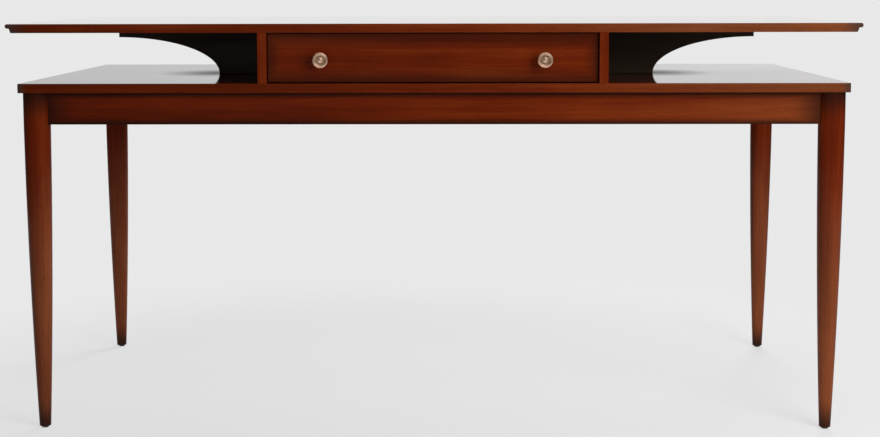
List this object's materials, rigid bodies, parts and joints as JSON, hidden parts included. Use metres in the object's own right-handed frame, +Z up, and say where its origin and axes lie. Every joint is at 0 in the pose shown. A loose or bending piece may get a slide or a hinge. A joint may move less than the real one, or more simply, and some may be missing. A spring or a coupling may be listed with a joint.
{
  "type": "writing desk",
  "caption": "Two-tier writing desk on round tapered legs: a thin upper top floats on a shallow drawer case and two curved dark brackets above a lower top with a deep apron.",
  "frame": {"origin": "on the floor under the middle of the desk", "axes": "+X to the right of the person at the desk as seen from the front, the drawer opens towards -Y, +Z up"},
  "size_m": [1.626, 0.7765, 0.79],
  "materials": {
    "mahogany": "polished red-brown",
    "ebonised_wood": "satin near-black",
    "secondary_wood": "plain waxed",
    "panel_wood": "plain waxed",
    "brass": "polished and a little worn",
    "screw_steel": "zinc plated",
    "glide": "dark matt"
  },
  "bodies": {
    "desk": {"upper_top": "mahogany", "lower_top": "mahogany", "case_left_side": "mahogany", "case_right_side": "mahogany", "front_apron": "mahogany", "rear_apron": "mahogany", "left_apron": "mahogany", "right_apron": "mahogany", "front_left_leg": "mahogany", "front_right_leg": "mahogany", "rear_left_leg": "mahogany", "rear_right_leg": "mahogany", "left_bracket": "ebonised_wood", "right_bracket": "ebonised_wood", "left_runner": "secondary_wood", "right_runner": "secondary_wood", "left_cleat": "secondary_wood", "right_cleat": "secondary_wood", "left_cross_rail": "secondary_wood", "right_cross_rail": "secondary_wood", "front_left_corner_block": "secondary_wood", "front_right_corner_block": "secondary_wood", "rear_left_corner_block": "secondary_wood", "rear_right_corner_block": "secondary_wood", "case_dowels": "secondary_wood", "bracket_dowels": "secondary_wood", "case_back": "panel_wood", "cleat_screws": "screw_steel", "corner_block_screws": "screw_steel", "lower_top_screws": "screw_steel", "case_screws": "screw_steel", "runner_screws": "screw_steel", "foot_glides": "glide"},
    "drawer": {"drawer_front": "mahogany", "drawer_left_side": "secondary_wood", "drawer_right_side": "secondary_wood", "drawer_back": "secondary_wood", "drawer_bottom": "panel_wood", "left_knob": "brass", "right_knob": "brass", "knob_screws": "screw_steel", "drawer_bottom_screws": "screw_steel"}
  },
  "joints": [
    {"name": "drawer_slide", "type": "slide", "parent": "desk", "child": "drawer", "axis": [0, -1, 0], "range_m": [0, 0.3]}
  ]
}
